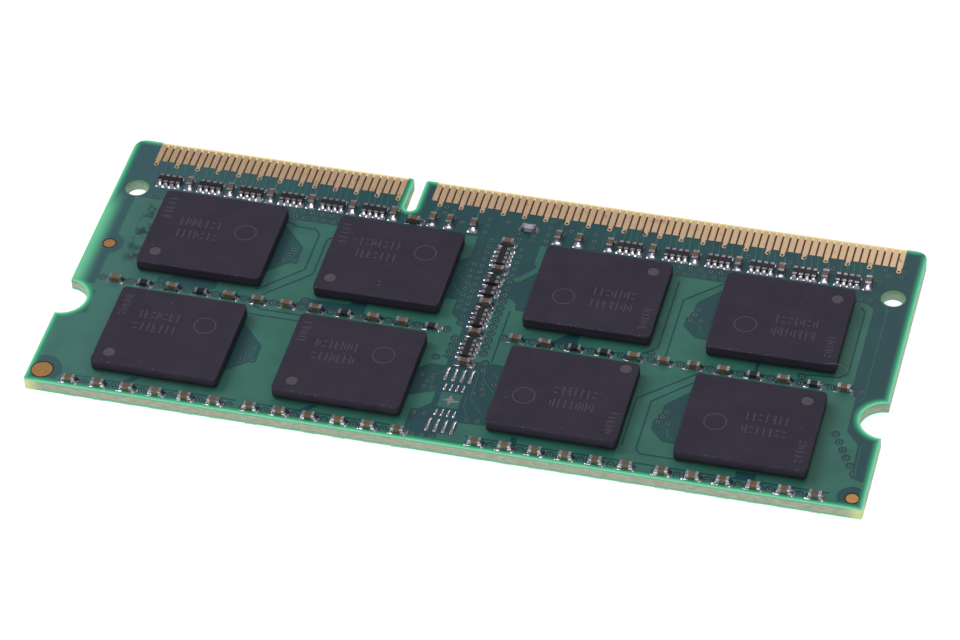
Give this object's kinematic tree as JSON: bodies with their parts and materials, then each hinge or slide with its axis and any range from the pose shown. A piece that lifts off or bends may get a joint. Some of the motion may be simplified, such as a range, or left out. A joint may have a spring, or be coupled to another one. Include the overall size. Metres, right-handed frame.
{
  "type": "laptop memory module",
  "caption": "Double-sided laptop memory board with gold edge contacts, a key slot, side latch notches and ball-grid memory packages.",
  "frame": {"origin": "under the middle of the module, on the plane of the front face's memory packages, which it rests on", "axes": "+X along the contact edge, +Y towards the contacts, +Z out of the back face (the face that the picture shows)"},
  "size_m": [0.0676, 0.03, 0.0033],
  "materials": {
    "glass_epoxy": "satin",
    "inner_copper": "satin",
    "outer_copper": "satin",
    "gold_plating": "satin",
    "solder_mask": "satin",
    "tinned_pad": "satin",
    "mould_compound": "matte",
    "package_laminate": "satin",
    "silicon": "polished",
    "solder": "satin",
    "capacitor_ceramic": "satin",
    "chip_terminal": "satin",
    "alumina": "matte",
    "resistor_glaze": "satin",
    "ferrite": "satin"
  },
  "bodies": {
    "root": {"laminate_core": "glass_epoxy", "laminate_back": "glass_epoxy", "laminate_front": "glass_epoxy", "ground_plane": "inner_copper", "power_plane": "inner_copper", "edge_contacts_back_short_group": "gold_plating", "edge_contacts_back_long_group": "gold_plating", "edge_contacts_front_short_group": "gold_plating", "edge_contacts_front_long_group": "gold_plating", "gold_pads_back": "gold_plating", "gold_pads_front": "gold_plating", "spare_footprint_pads": "tinned_pad", "copper_pours_back": "outer_copper", "copper_pours_front": "outer_copper", "signal_traces_back": "outer_copper", "signal_traces_front": "outer_copper", "via_lands_back": "outer_copper", "via_lands_front": "outer_copper", "solder_mask_back": "solder_mask", "solder_mask_front": "solder_mask", "solder_balls_back": "solder", "solder_balls_front": "solder", "package_substrates_back": "package_laminate", "package_substrates_front": "package_laminate", "silicon_dies_back": "silicon", "silicon_dies_front": "silicon", "capacitor_blocks_back": "capacitor_ceramic", "capacitor_blocks_front": "capacitor_ceramic", "capacitor_terminals_back": "chip_terminal", "capacitor_terminals_front": "chip_terminal", "resistor_blocks_back": "alumina", "resistor_blocks_front": "alumina", "resistor_terminals_back": "chip_terminal", "resistor_terminals_front": "chip_terminal", "resistor_coats_back": "resistor_glaze", "resistor_coats_front": "resistor_glaze", "ferrite_core": "ferrite", "ferrite_terminals": "chip_terminal", "ferrite_solder": "solder", "solder_fillets_back": "solder", "solder_fillets_front": "solder", "serial_memory": "mould_compound", "serial_memory_leads": "chip_terminal", "memory_cap_back_1": "mould_compound", "memory_cap_back_2": "mould_compound", "memory_cap_back_3": "mould_compound", "memory_cap_back_4": "mould_compound", "memory_cap_back_5": "mould_compound", "memory_cap_back_6": "mould_compound", "memory_cap_back_7": "mould_compound", "memory_cap_back_8": "mould_compound", "memory_cap_front_1": "mould_compound", "memory_cap_front_2": "mould_compound", "memory_cap_front_3": "mould_compound", "memory_cap_front_4": "mould_compound", "memory_cap_front_5": "mould_compound", "memory_cap_front_6": "mould_compound", "memory_cap_front_7": "mould_compound", "memory_cap_front_8": "mould_compound"}
  },
  "joints": []
}
